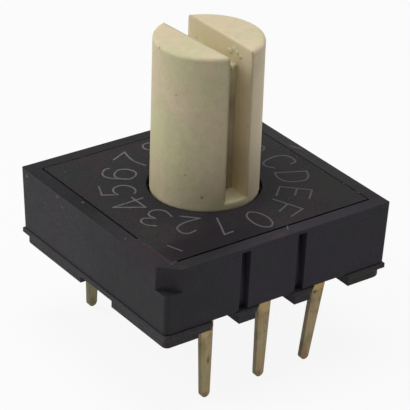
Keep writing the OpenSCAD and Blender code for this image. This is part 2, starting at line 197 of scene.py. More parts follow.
class Bench:
    """The node tree of one material, or of the world, while it is made."""

    def __init__(self, owner: Union[Material, bpy.types.World]) -> None:
        """Start with an empty tree.

        Args:
            owner: The material or the world that the tree belongs to.
        """
        owner.use_nodes = True
        self.owner = owner
        self.tree = owner.node_tree
        self.tree.nodes.clear()
        self._place: Wire | None = None

    def node(
        self,
        kind: str,
        settings: Mapping[str, object] | None = None,
        inputs: Mapping[Union[int, str], Value] | None = None,
        out: Union[int, str] = 0,
    ) -> Wire:
        """Add any node.

        Args:
            kind: The node's type, without its ShaderNode prefix.
            settings: The node's own settings, set first.
            inputs: Values or links of its input sockets, by index or name.
            out: The output that is wanted, by index or name.

        Returns:
            That output.
        """
        node = self.tree.nodes.new("ShaderNode" + kind)
        for name, value in (settings or {}).items():
            setattr(node, name, value)
        for name, value in (inputs or {}).items():
            socket = node.inputs[name]
            if isinstance(value, Wire):
                self.tree.links.new(value.socket, socket)
            elif socket.type == "RGBA":
                socket.default_value = (*value, 1.0)
            else:
                socket.default_value = value
        return Wire(self, node.outputs[out])

    def place(self) -> Wire:
        """Where a point of the surface is in its piece, in metres.

        Returns:
            The place, from a node that the whole tree shares.
        """
        if self._place is None:
            self._place = self.node("TexCoord", out="Object")
        return self._place

    def cloud(self, size: float, detail: float, at: Wire | None = None, shift: float = 0.0) -> Wire:
        """Soft noise around 0.5.

        Args:
            size: Size of its patches, in metres.
            detail: Octaves.
            at: Where it is read, if not at the surface's place.
            shift: Moves it, so that two clouds differ.

        Returns:
            A number from 0 to 1.
        """
        at = self.place() if at is None else at
        if shift:
            at = at + (shift, 0.7 * shift, -shift)
        return self.node("TexNoise", inputs={"Vector": at, "Scale": 1 / size, "Detail": detail})

    def specks(self, spacing: float, size: float, share: float, shift: float) -> Wire:
        """Small scattered dots.

        Args:
            spacing: Size of the cells that may hold one, in metres.
            size: Dot's radius as a share of a cell.
            share: Share of the cells with a dot.
            shift: Moves them.

        Returns:
            A mask that is 1 in the dots.
        """
        at = self.place() + (shift, shift, shift)
        cell = {"Vector": at, "Scale": 1 / spacing}
        near = self.node("TexVoronoi", inputs=cell)
        pick = self.node("TexVoronoi", inputs=cell, out="Color")
        chosen = self.node("SeparateColor", inputs={0: pick}).step(share + 0.001, share)
        return near.step(size, 0.6 * size) * chosen

    def blend(self, mask: Value, below: Value, above: Value, mode: str = "MIX") -> Wire:
        """Colour that goes from one to another.

        Args:
            mask: 0 for the first, 1 for the second.
            below: First colour.
            above: Second colour, or what the first is worked with.
            mode: How the two are worked together.

        Returns:
            The colour.
        """
        settings = {"data_type": "RGBA", "blend_type": mode}
        return self.node("Mix", settings, {0: mask, 6: below, 7: above}, out=2)

    def facing(self) -> Wire:
        """The way that the surface faces."""
        return self.node("NewGeometry", out="Normal")

    def rounded(self, radius: float) -> Wire:
        """The way that it would face if its edges had this radius, in metres."""
        return self.node("Bevel", {"samples": 6}, {"Radius": radius})

    def flatness(self) -> Wire:
        """How flat the surface is: 1 on a face, less by an edge."""
        both = {0: self.rounded(EDGE_REACH), 1: self.facing()}
        return self.node("VectorMath", {"operation": "DOT_PRODUCT"}, both, out="Value")

    def seen(self) -> Wire:
        """Whether a ray comes from the camera, straight or by way of a mirror or glass.

        Returns:
            1 where it does, 0 for the light that falls on the part.
        """
        camera, mirror, glass = (
            self.node("LightPath", out=f"Is {kind} Ray") for kind in ("Camera", "Glossy", "Transmission")
        )
        return camera.most(mirror).most(glass)

    def bump(self, height: Wire, soft_edge: float = 0.0, depth: float = 0.003 * MM) -> Wire:
        """Normal of a rough surface.

        Args:
            height: Height from 0 to 1.
            soft_edge: Radius that sharp edges seem to have, in metres.
            depth: What 1 stands for, in metres.

        Returns:
            The normal.
        """
        sockets = {"Height": height, "Distance": depth, "Strength": 1.0}
        if soft_edge:
            sockets["Normal"] = self.rounded(soft_edge)
        return self.node("Bump", inputs=sockets)

    def surface(self, shader: Wire) -> None:
        """Link a shader to the output."""
        end = self.tree.nodes.new("ShaderNodeOutput" + type(self.owner).__name__)
        self.tree.links.new(shader.socket, end.inputs["Surface"])


@dataclass(frozen=True)
class Blotch:
    """A stain, worn patch or speck on a solid, in millimetres and in a display colour."""

    at: Place
    radius: float
    colour: Colour
    strength: float
    squeeze: Place = (1.0, 1.0, 1.0)

    def over(self, bench: Bench, below: Wire) -> Wire:
        """Lay the blotch over a colour.

        Args:
            bench: The finish that it is part of.
            below: The colour beneath.

        Returns:
            The colour with the blotch.
        """
        radius = self.radius * MM
        away = (bench.place() - tuple(part * MM for part in self.at)) * self.squeeze
        reach = bench.node("VectorMath", {"operation": "LENGTH"}, {0: away}, out="Value")
        ragged = reach + (bench.cloud(0.5 * radius, 2.0, shift=0.07) - 0.5) * (0.9 * radius)
        return bench.blend(ragged.step(radius, 0.4 * radius) * self.strength, below, shade(*self.colour))


@dataclass(frozen=True)
class Finish:
    """What all finishes share: a name, and the way that they become a material."""

    name: str

    def make(self) -> Material:
        """Build the material.

        Returns:
            The material.
        """
        bench = Bench(bpy.data.materials.new(self.name))
        bench.surface(self.shader(bench))
        return bench.owner

    def shader(self, bench: Bench) -> Wire:
        """Lay out the finish's nodes.

        Args:
            bench: The tree that they go into.

        Returns:
            The surface shader.
        """
        raise NotImplementedError


@dataclass(frozen=True)
class BlackMoulding(Finish):
    """Matt black moulded plastic with a fine grain, worn edges, faint stains and dust, and painted shade on
    its upward faces, in its creases and along the plate's seam.

    Attributes:
        near_dark: How far it darkens towards the near left corner.
        seam: Half the width of the painted shade line round the plate, if it has one.
        seam_fill: Y below which dirt fills that line on the left.
    """

    body: Colour
    warm: Colour
    cool: Colour
    upward: Colour = grey(1.0)
    edge: Colour = shade(84, 82, 82)
    dust: Colour = shade(140, 138, 132)
    pits: Colour = grey(0.74)
    peaks: Colour = grey(1.28)
    crease: Colour = (0.74, 0.76, 0.82)
    seam_colour: Colour = grey(0.002)
    roughness: float = 0.66
    specular: float = 0.12
    tinted: float = 0.8
    rubbed: float = 0.35
    dusty: float = 0.05
    crease_reach: float = 0.24 * MM
    soft_edge: float = 0.03 * MM
    blotches: tuple[Blotch, ...] = ()
    near_dark: float = 0.0
    seam: float = 0.0
    seam_fill: float = -2.2 * MM

    def seam_dirt(self, bench: Bench) -> Wire:
        """Mask of the painted shade line along the plate's outline, clean at the corner that dirt fills.

        Args:
            bench: The finish that it is part of.

        Returns:
            1 in the line, 0 elsewhere.
        """
        low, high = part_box("top_plate")
        middle, half = (low + high) / 2, (high - low) / 2
        x, y, z = ((bench.place() - tuple(middle)).along(axis) for axis in Axis)
        outline = (x.size() - half.x).most(y.size() - half.y)
        line = (outline - 0.25 * self.seam).size().step(self.seam, 0.4 * self.seam)
        filled = y.step(self.seam_fill, self.seam_fill - 0.1 * MM) * x.step(0.15 * MM - half.x, -half.x)
        return line * z.step(0.0, half.z) * (1.0 - filled)

    def shader(self, bench: Bench) -> Wire:
        """See Finish.shader."""
        broad = bench.cloud(1.7 * MM, 2.0)
        patch = bench.cloud(0.33 * MM, 3.0, shift=0.013)
        grain = bench.cloud(0.06 * MM, 2.0, shift=0.031)
        tint = bench.blend(broad.step(0.36, 0.64), self.cool, self.warm)
        colour = bench.blend(patch.step(0.3, 0.7) * self.tinted, self.body, tint)
        colour = colour * bench.blend(grain.step(0.25, 0.75), self.pits, self.peaks)
        # Painted shade: faces that look up take a darker colour.
        faces_up = bench.facing().along(Axis.Z).step(0.4, 0.9)
        colour = bench.blend(faces_up, colour, colour * self.upward)
        if self.near_dark:
            across = bench.place().along(Axis.X) + bench.place().along(Axis.Y) * 0.7
            near = across.step(0.5 * MM, -6.0 * MM)
            colour = bench.blend(near * faces_up * self.near_dark, colour, grey(0.0))
        for blotch in self.blotches:
            colour = blotch.over(bench, colour)
        # Painted shade: creases, grooves and joints between parts are darkened where ambient occlusion
        # finds them closed in.
        open_air = bench.node("AmbientOcclusion", {"samples": 8}, {"Distance": self.crease_reach}, out="AO")
        colour = colour * bench.blend(open_air.step(0.3, 0.95), self.crease, grey(1.0))
        # Painted shade: a near-black line along the plate's seam, except where dirt fills it.
        if self.seam:
            colour = bench.blend(self.seam_dirt(bench) * (0.6 + grain * 0.5), colour, self.seam_colour)
        worn = bench.flatness().step(0.97, 0.8) * patch.step(0.4, 0.6)
        colour = bench.blend(worn * self.rubbed, colour, self.edge)
        specks = bench.specks(0.5 * MM, 0.06, self.dusty, 0.017)
        rub = bench.specks(1.3 * MM, 0.03, 0.3, 0.041)
        colour = bench.blend(specks.most(rub) * 0.5, colour, self.dust)
        sockets = {
            "Base Color": colour,
            "Roughness": self.roughness + (patch - 0.5) * 0.25 + specks * 0.1 - worn * 0.12,
            "Specular IOR Level": self.specular,
            "Normal": bench.bump(grain + patch * 0.6, self.soft_edge),
        }
        return bench.node("BsdfPrincipled", inputs=sockets)


@dataclass(frozen=True)
class ShaftResin(Finish):
    """Cream moulded resin, faintly mottled with grime, with dark specks, painted shade down its keyway's
    floor and painted light on the keyway's wall that faces the lamps.

    Attributes:
        key_half: Half the keyway's width, with a little to spare.
        key_back: Y below which a point is in it.
        key_floor: Y of its floor.
        key_clean: Height above which the keyway has no painted shade or light; below it they grow in over
            key_fade.
    """

    body: Colour = shade(206, 194, 161)
    warm: Colour = shade(213, 195, 166)
    cool: Colour = shade(200, 195, 155)
    pale: Colour = shade(220, 210, 181)
    grime: Colour = shade(136, 118, 92)
    rubbed: Colour = shade(236, 218, 170)
    speck: Colour = shade(104, 88, 58)
    key_half: float = 0.53 * MM
    key_back: float = -1.02 * MM
    key_floor: float = -1.06 * MM
    key_clean: float = 8.4 * MM
    key_fade: float = 1.6 * MM
    key_blur: float = 0.02 * MM
    soft_edge: float = 0.18 * MM
    blotches: tuple[Blotch, ...] = ()

    def shader(self, bench: Bench) -> Wire:
        """See Finish.shader."""
        broad = bench.cloud(1.5 * MM, 1.0)
        patch = bench.cloud(0.38 * MM, 4.0, shift=0.021)
        grain = bench.cloud(0.08 * MM, 2.0, shift=0.047)
        tint = bench.blend(broad.step(0.3, 0.7), self.warm, self.cool)
        colour = bench.blend(0.8, self.body, tint)
        colour = bench.blend(patch.step(0.48, 0.75) * 0.4, colour, self.pale)
        colour = bench.blend(patch.step(0.5, 0.3) * 0.09, colour, self.grime)
        colour = bench.blend(grain.step(0.6, 0.3) * 0.1, colour, self.grime)
        x, y, z = (bench.place().along(axis) for axis in Axis)
        within = x.size().step(self.key_half, self.key_half - self.key_blur)
        keyway = within * y.step(self.key_back, self.key_back - self.key_blur)
        deep = keyway * z.step(self.key_clean, self.key_clean - self.key_fade)
        back = y.step(self.key_floor - self.key_blur, self.key_floor)
        # Painted shade: the keyway's floor darkens further down the keyway.
        colour = bench.blend(deep * back * (0.45 + patch * 0.4), colour, self.grime)
        # Painted light: the keyway's wall that faces the lamps is lightened further down.
        side = x.step(self.key_half - 0.06 * MM, self.key_half - 0.04 * MM) * (1.0 - back)
        colour = bench.blend(deep * side * 0.75, colour, self.rubbed)
        specks = bench.specks(0.5 * MM, 0.09, 0.16, 0.005)
        flecks = bench.specks(0.22 * MM, 0.13, 0.07, 0.083)
        colour = bench.blend((specks * 0.55).most(flecks * 0.3), colour, self.speck)
        for blotch in self.blotches:
            colour = blotch.over(bench, colour)
        height = grain * 0.6 + patch * 0.4 - specks * 0.4
        sockets = {
            "Base Color": colour,
            "Roughness": 0.6 + (patch - 0.5) * 0.2,
            "Specular IOR Level": 0.3,
            "Subsurface Weight": 0.1,
            "Subsurface Radius": (0.5 * MM, 0.35 * MM, 0.2 * MM),
            "Subsurface Scale": 0.6,
            "Normal": bench.bump(height, self.soft_edge),
        }
        return bench.node("BsdfPrincipled", inputs=sockets)


@dataclass(frozen=True)
class PlatedMetal(Finish):
    """Plated sheet metal with tarnish, drawing lines and spots, another colour towards its root, and
    painted shade on its sides and edges where shaded is set.

    Attributes:
        root: Colour that the metal takes near its root, which comes in over the heights root_span.
        shaded: How far its sides and edges are darkened, as painted shade.
    """

    bright: Colour
    dull: Colour
    stain: Colour
    roughness: float
    metallic: float
    stained: float
    spot: Colour = shade(70, 60, 40)
    greenish: Colour = (0.9, 1.0, 0.82)
    reddish: Colour = (1.04, 0.95, 0.9)
    spots: float = 0.12
    root: Colour | None = None
    root_span: Span = (-1.0 * MM, -0.1 * MM)
    shaded: float = 0.0
    drawn: Place = (1.0, 1.0, 0.12)
    blotches: tuple[Blotch, ...] = ()

    def shader(self, bench: Bench) -> Wire:
        """See Finish.shader."""
        long_way = bench.place() * self.drawn
        patch = bench.cloud(0.16 * MM, 3.0, long_way, 0.009)
        lines = bench.cloud(0.035 * MM, 2.0, long_way)
        colour = bench.blend((patch * 0.6 + lines * 0.4).step(0.3, 0.7), self.dull, self.bright)
        hue = bench.cloud(0.45 * MM, 2.0, shift=0.037)
        colour = colour * bench.blend(hue.step(0.35, 0.65), self.greenish, self.reddish)
        if self.root:
            fresh = bench.place().along(Axis.Z) + (bench.cloud(0.3 * MM, 3.0) - 0.5) * (1.2 * MM)
            colour = bench.blend(fresh.step(*self.root_span), colour, self.root)
        tarnish = bench.cloud(0.5 * MM, 3.0, shift=0.063).step(0.5, 0.72)
        colour = bench.blend(tarnish * self.stained, colour, self.stain)
        spots = bench.specks(0.36 * MM, 0.12, self.spots, 0.02)
        colour = bench.blend(spots * 0.7, colour, self.spot)
        for blotch in self.blotches:
            colour = blotch.over(bench, colour)
        # Painted shade: the sides that face along X and the edges are darkened.
        if self.shaded:
            side = bench.facing().along(Axis.X).size().step(0.5, 0.9)
            edge = bench.flatness().step(0.98, 0.75)
            colour = bench.blend(side.most(edge) * self.shaded, colour, self.stain)
        sockets = {
            "Base Color": colour,
            "Metallic": self.metallic * (1.0 - tarnish * 0.3 - spots * 0.5),
            "Roughness": self.roughness + (lines - 0.5) * 0.25 + tarnish * 0.15,
            "Normal": bench.bump(lines * 0.5 + patch * 0.5),
        }
        return bench.node("BsdfPrincipled", inputs=sockets)


@dataclass(frozen=True)
class SealRubber(Finish):
    """Dull black rubber with bloom."""

    body: Colour = shade(30, 29, 28)
    bloom: Colour = shade(64, 62, 60)

    def shader(self, bench: Bench) -> Wire:
        """See Finish.shader."""
        patch = bench.cloud(0.2 * MM, 4.0)
        colour = bench.blend(patch.step(0.5, 0.8) * 0.6, self.body, self.bloom)
        sockets = {
            "Base Color": colour,
            "Roughness": 0.7 + (patch - 0.5) * 0.3,
            "Normal": bench.bump(patch, depth=0.004 * MM),
        }
        return bench.node("BsdfPrincipled", inputs=sockets)


@dataclass(frozen=True)
class DialInk(Finish):
    """Thin grey marking ink, worn through in places and fainter to the right and the front."""

    ink: Colour = shade(101, 100, 105)
    worn: Colour = shade(70, 67, 70)
    faint: float = 0.75
    fade_x: Span = (0.2 * MM, 2.6 * MM)
    front_faint: float = 0.6
    fade_y: Span = (-1.7 * MM, -2.3 * MM)

    def shader(self, bench: Bench) -> Wire:
        """See Finish.shader."""
        patch = bench.cloud(0.16 * MM, 3.0)
        broad = bench.cloud(0.9 * MM, 2.0, shift=0.05)
        wear = (patch * 0.6 + broad * 0.4).step(0.47, 0.64) * 0.7
        fade = bench.place().along(Axis.X).step(*self.fade_x) * self.faint
        front = bench.place().along(Axis.Y).step(*self.fade_y) * self.front_faint
        sockets = {
            "Base Color": bench.blend(wear.most(fade).most(front), self.ink, self.worn),
            "Roughness": 0.7 + (patch - 0.5) * 0.2,
            "Specular IOR Level": 0.2,
            "Normal": bench.bump(patch, depth=0.002 * MM),
        }
        return bench.node("BsdfPrincipled", inputs=sockets)


@dataclass(frozen=True)
class Grit(Finish):
    """Dry dust or residue, uneven in tone."""

    pale: Colour
    dark: Colour

    def shader(self, bench: Bench) -> Wire:
        """See Finish.shader."""
        patch = bench.cloud(0.12 * MM, 4.0)
        grain = bench.cloud(0.03 * MM, 2.0, shift=0.02)
        tone = (patch * 0.6 + grain * 0.4).step(0.35, 0.65)
        sockets = {
            "Base Color": bench.blend(tone, self.dark, self.pale),
            "Roughness": 0.8 + (grain - 0.5) * 0.2,
            "Specular IOR Level": 0.15,
            "Normal": bench.bump(patch * 0.5 + grain * 0.5, depth=0.008 * MM),
        }
        return bench.node("BsdfPrincipled", inputs=sockets)


@dataclass(frozen=True)
class PaleFloor(Finish):
    """White studio floor with a light shadow; lift is the share of plain white that is seen."""

    colour: Colour = grey(0.75)
    lift: float = 0.9

    def shader(self, bench: Bench) -> Wire:
        """See Finish.shader."""
        lit = bench.node("BsdfDiffuse", inputs={"Color": self.colour})
        glow = bench.node("Emission", inputs={"Color": grey(1.0), "Strength": 1.0})
        return bench.node("MixShader", inputs={0: bench.seen() * self.lift, 1: lit, 2: glow})


def dress(material: Material, *nodes: str) -> None:
    """Give solids of the frame their finish.

    Args:
        material: The finish.
        nodes: The solids' names.
    """
    for node in nodes:
        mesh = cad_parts[node].data
        mesh.materials.clear()
        mesh.materials.append(material)
        LOG.info("%s takes %s", node, material.name)


def piece(
    name: str,
    shape: BMesh,
    material: Material,
    body: Body,
    slot: Slot | None = None,
) -> Object:
    """Turn a shape into a piece of the part.

    Args:
        name: The piece's name.
        shape: The mesh, which is used up.
        material: Its finish.
        body: The body that it rides on.
        slot: The material slot that it would take its finish from; it is not used.

    Returns:
        The piece's object.
    """
    mesh = bpy.data.meshes.new(name)
    shape.to_mesh(mesh)
    shape.free()
    mesh.materials.append(material)
    made = bpy.data.objects.new(name, mesh)
    bpy.context.scene.collection.objects.link(made)
    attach(made, body.value)
    LOG.info("%s: %d faces on %s", name, len(mesh.polygons), body.value)
    return made


@dataclass
class Pen:
    """Draws raised lines of one width on a level surface.

    Attributes:
        level: The surface's height.
        rise: How high a line's middle stands above it, and sink how deep its rims lie in it.
        shoulder: A line's shoulder, as shares of half its width and of its rise.
        tip: Share of the width at the end of a cap.
    """

    level: float
    width: float
    rise: float = 0.006 * MM
    sink: float = 0.004 * MM
    shoulder: Point = (0.86, 0.7)
    cap_steps: int = 4
    tip: float = 0.05

    def line(
        self,
        shape: BMesh,
        points: Sequence[Vector],
        closed: bool = False,
        shares: Sequence[float] | None = None,
    ) -> None:
        """Add one smooth line with round ends.

        Args:
            shape: The mesh that it is added to.
            points: The points that it follows.
            closed: Whether it runs back to its start.
            shares: The line's width at each point as a share of the pen's, if it varies.
        """
        count = len(points)
        cuts: list[Cut] = []
        for i, point in enumerate(points):
            before = points[(i - 1) % count if closed else max(i - 1, 0)]
            after = points[(i + 1) % count if closed else min(i + 1, count - 1)]
            ahead = (after - before).normalized()
            cuts.append((point, ahead, shares[i] if shares else 1.0))
        if not closed:
            cuts = self._cap(cuts[0], -1.0)[::-1] + cuts + self._cap(cuts[-1], 1.0)
        loops = [self._section(shape, cut) for cut in cuts]
        pairs = list(zip(loops, loops[1:])) + ([(loops[-1], loops[0])] if closed else [])
        for one, two in pairs:
            for k in range(len(one) - 1):
                shape.faces.new((one[k], two[k], two[k + 1], one[k + 1]))

    def _cap(self, end: Cut, way: float) -> list[Cut]:
        """Round off one end of a line.

        Args:
            end: Its last cut.
            way: 1 where the line runs out, -1 where it starts.

        Returns:
            The cuts beyond that one, outwards.
        """
        point, ahead, _ = end
        turns = [math.pi / 2 * k / self.cap_steps for k in range(1, self.cap_steps + 1)]
        reach = way * self.width / 2
        return [(point + ahead * reach * math.sin(t), ahead, max(math.cos(t), self.tip)) for t in turns]

    def _section(self, shape: BMesh, cut: Cut) -> list[bmesh.types.BMVert]:
        """Add the corners of the line's section at one cut.

        Args:
            shape: The mesh.
            cut: Where the line is cut.

        Returns:
            The corners, from side to side.
        """
        point, ahead, share = cut
        side = Vector((-ahead.y, ahead.x)) * self.width / 2 * share
        out, up = self.shoulder[0], self.rise * self.shoulder[1]
        profile = ((-1.0, -self.sink), (-out, up), (0.0, self.rise), (out, up), (1.0, -self.sink))
        return [shape.verts.new((*(point + side * across), self.level + high)) for across, high in profile]


def lump(shape: BMesh, at: Vector, size: Vector, chance: random.Random) -> None:
    """Add one small uneven lump.

    Args:
        shape: The mesh that it is added to.
        at: Its middle.
        size: Half its extent along each axis.
        chance: Where its unevenness comes from.
    """
    uneven, rough = 0.22, 0.07
    made = bmesh.ops.create_icosphere(shape, subdivisions=3, radius=1.0)
    lean = Vector(chance.uniform(-1, 1) for _ in range(3))
    for vertex in made["verts"]:
        swell = 1 + uneven * vertex.co.dot(lean) + chance.uniform(-rough, rough)
        vertex.co = at + swell * Vector(part * half for part, half in zip(vertex.co, size))


@dataclass(frozen=True)
class Stroke:
    """One pull of the pen, in hundredths of a figure's width and height."""

    points: tuple[Point, ...]
    smooth: bool = True
    closed: bool = False

    def line(self) -> list[Vector]:
        """The points that the pen follows, from 0 to 1 each way.

        Returns:
            The points in order.
        """
        marks = [Vector((x / 100, y / 100)) for x, y in self.points]
        if not self.smooth:
            return marks
        count = len(marks)
        line: list[Vector] = []
        steps = 6  # pieces between two of the stroke's own points
        for i in range(count if self.closed else count - 1):
            near = range(i - 1, i + 3)
            turns = [k % count if self.closed else min(max(k, 0), count - 1) for k in near]
            before, start, end, after = (marks[k] for k in turns)
            for k in range(steps):
                t = k / steps
                bend = 2 * before - 5 * start + 4 * end - after
                twist = 3 * (start - end) + after - before
                line.append((2 * start + (end - before) * t + bend * t**2 + twist * t**3) / 2)
        return line if self.closed else line + [marks[-1]]


def straight(*points: Point) -> tuple[Stroke, ...]:
    """Straight strokes from each point to the next."""
    return tuple(Stroke(ends, smooth=False) for ends in zip(points, points[1:]))


def bow(*points: Point) -> tuple[Stroke, ...]:
    """A smooth open stroke."""
    return (Stroke(points),)


def ring(*points: Point) -> tuple[Stroke, ...]:
    """A smooth closed stroke."""
    return (Stroke(points, closed=True),)


FIGURES: dict[str, tuple[Stroke, ...]] = {
    "0": ring((43, -4), (10, 16), (0, 50), (12, 84), (46, 100), (78, 82), (87, 46), (76, 12)),
    "1": straight((75, -3), (76, 98), (33, 84)),
    "2": straight((109, -1), (19, -1))
    + bow((19, -1), (80, 34), (105, 69), (82, 94), (48, 97), (19, 74)),
    "3": bow((17, 88), (56, 99), (93, 92), (102, 71), (59, 51))
    + bow((59, 51), (97, 46), (112, 29), (100, 7), (59, -3), (8, 13)),
    "4": straight((91, -7), (86, 100), (8, 18), (122, 19)),
    "5": straight((105, 102), (19, 103), (12, 56))
    + bow((12, 56), (49, 65), (86, 55), (99, 28), (75, 5), (40, -2), (12, 5)),
    "6": bow((101, 85), (84, 97), (40, 98), (11, 84), (5, 49), (18, 16))
    + ring((54, -2), (18, 10), (10, 34), (24, 56), (56, 62), (96, 55), (112, 29), (93, 3)),
    "7": straight((3, 96), (102, 98)) + bow((102, 98), (71, 71), (51, 45), (44, 23), (43, -3)),
    "8": ring((50, 53), (20, 60), (10, 77), (24, 95), (50, 100), (76, 95), (90, 77), (80, 60))
    + ring((50, -2), (14, 6), (2, 26), (16, 46), (50, 53), (84, 46), (98, 26), (86, 6)),
    "9": bow((4, 12), (20, 0), (62, -1), (92, 14), (100, 50), (88, 84))
    + ring((50, 102), (14, 94), (0, 70), (12, 46), (50, 38), (84, 44), (98, 68), (86, 93)),
    "A": straight((0, 0), (50, 100), (100, 0)) + straight((18, 33), (82, 33)),
    "B": straight((4, 0), (4, 100))
    + bow((4, 100), (60, 99), (86, 88), (86, 66), (60, 54), (4, 53))
    + bow((4, 53), (64, 53), (95, 40), (95, 14), (66, 0), (4, 0)),
    "C": bow((100, 80), (94, 100), (60, 107), (18, 99), (-2, 70), (5, 32), (28, 8), (60, 6), (92, 20)),
    "D": straight((-4, 5), (4, 104))
    + bow((4, 104), (56, 101), (92, 84), (100, 50), (84, 20), (44, 6), (-4, 5)),
    "E": straight((0, 2), (0, 100), (89, 99)) + straight((0, 55), (69, 54)) + straight((0, 2), (92, 0)),
    "F": straight((0, -2), (0, 100), (93, 96)) + straight((0, 48), (83, 51)),
}


@dataclass
class Dial:
    """The top plate with the sixteen figures printed round the shaft."""

    finish: Material
    ink: Material
    middle: Vector = field(default_factory=lambda: Vector((0.06, -0.02)) * MM)
    inner: float = 2.74 * MM
    tall: float = 1.25 * MM
    wide: float = 0.8 * MM
    line: float = 0.08 * MM
    first_angle: float = -90.0
    step_angle: float = 22.5
    index_line: tuple[Point, Point] = ((0.66, -4.31), (0.52, -4.53))
    index_width: float = 0.05 * MM
    stray_line: tuple[Point, Point] = ((-3.86, -3.16), (-3.64, -3.77))
    stray_width: float = 0.055 * MM
    level: float = field(init=False)

    def __post_init__(self) -> None:
        """Read how high the plate's face is."""
        self.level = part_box("top_plate")[1].z

    def build(self) -> list[Object]:
        """Dress the plate and print all its figures and marks.

        Returns:
            The printed pieces.
        """
        dress(self.finish, "top_plate")
        printed = [self.figure(place, sign) for place, sign in enumerate(FIGURES)]
        return printed + [
            self.mark("index_mark", self.index_line, self.index_width),
            self.mark("stray_scratch", self.stray_line, self.stray_width),
        ]

    def figure(self, place: int, sign: str) -> Object:
        """Print one figure, its top towards the plate's edge.

        Args:
            place: The figure's place round the dial, clockwise from the front.
            sign: The figure.

        Returns:
            The piece.
        """
        turn = math.radians(self.first_angle - self.step_angle * place)
        up = Vector((math.cos(turn), math.sin(turn)))
        right = Vector((up.y, -up.x))
        pen = Pen(self.level, self.line)
        shape = bmesh.new()
        for stroke in FIGURES[sign]:
            points = [
                self.middle + up * (self.inner + point.y * self.tall) + right * (point.x - 0.5) * self.wide
                for point in stroke.line()
            ]
            pen.line(shape, points, stroke.closed)
        return piece(f"dial_figure_{sign.lower()}", shape, self.ink, Body.CASE)

    def mark(self, name: str, ends: tuple[Point, Point], width: float) -> Object:
        """Draw one short line.

        Args:
            name: The piece's name.
            ends: Its two ends, in millimetres.
            width: Its width.

        Returns:
            The piece.
        """
        shape = bmesh.new()
        Pen(self.level, width).line(shape, [Vector(end) * MM for end in ends])
        return piece(name, shape, self.ink, Body.CASE)


